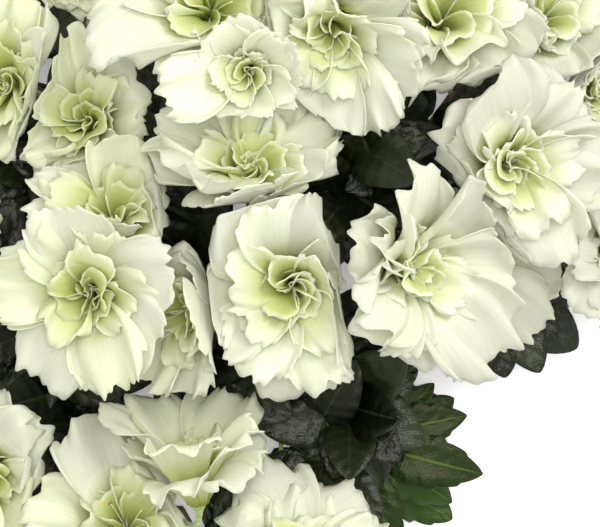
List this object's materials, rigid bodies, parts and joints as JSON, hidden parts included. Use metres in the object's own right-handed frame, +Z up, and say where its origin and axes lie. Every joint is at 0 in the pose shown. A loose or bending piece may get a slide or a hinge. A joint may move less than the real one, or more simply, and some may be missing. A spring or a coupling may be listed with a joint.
{
  "type": "cut flowering azalea branch",
  "caption": "Branch of a white double azalea in full bloom, cut from the shrub and laid on its side, with ruffled cream flowers over dark leaves on thin boughs.",
  "frame": {"origin": "middle of the branch's box, on the surface that it lies on", "axes": "+Z up from that surface, +X to the right and +Y to the top as one looks down on the branch; the cut end of the main stem is at -X -Y"},
  "size_m": [0.2971, 0.2766, 0.1057],
  "materials": {
    "bark": "rough grey-brown bark",
    "greenwood": "young brown-green bark",
    "petals": "soft matt cream, lime green in the throat",
    "leaves": "dark green with a leathery sheen"
  },
  "bodies": {
    "root": {"main_stem": "bark", "bough_lower_left": "greenwood", "bough_bottom_left": "greenwood", "bough_left": "greenwood", "bough_bottom": "greenwood", "bough_far_left": "greenwood", "bough_bottom_right": "greenwood", "bough_upper_left": "greenwood", "bough_right_fringe": "greenwood", "bough_centre": "greenwood", "bough_right": "greenwood", "bough_top_left": "greenwood", "bough_far_right": "greenwood", "bough_top": "greenwood", "flower_01": "petals", "flower_02": "petals", "flower_03": "petals", "flower_04": "petals", "flower_05": "petals", "flower_06": "petals", "flower_07": "petals", "flower_08": "petals", "flower_09": "petals", "flower_10": "petals", "flower_11": "petals", "flower_12": "petals", "flower_13": "petals", "flower_14": "petals", "flower_15": "petals", "flower_16": "petals", "flower_17": "petals", "flower_18": "petals", "flower_19": "petals", "flower_20": "petals", "flower_21": "petals", "flower_22": "petals", "flower_23": "petals", "flower_24": "petals", "leaves_far_left": "leaves", "leaves_top_left": "leaves", "leaves_left_edge": "leaves", "leaves_left": "leaves", "leaves_inner_left": "leaves", "leaves_upper_left": "leaves", "leaves_centre": "leaves", "leaves_upper_right": "leaves", "leaves_upper_middle": "leaves", "leaves_lower_left": "leaves", "leaves_lower_middle": "leaves", "leaves_right": "leaves", "leaves_right_fringe": "leaves", "leaves_lower_right": "leaves", "leaves_bottom": "leaves", "leaves_bottom_right": "leaves", "leaves_far_right": "leaves", "leaves_bottom_left": "leaves", "leaves_stem_side": "leaves", "leaves_top": "leaves"}
  },
  "joints": []
}
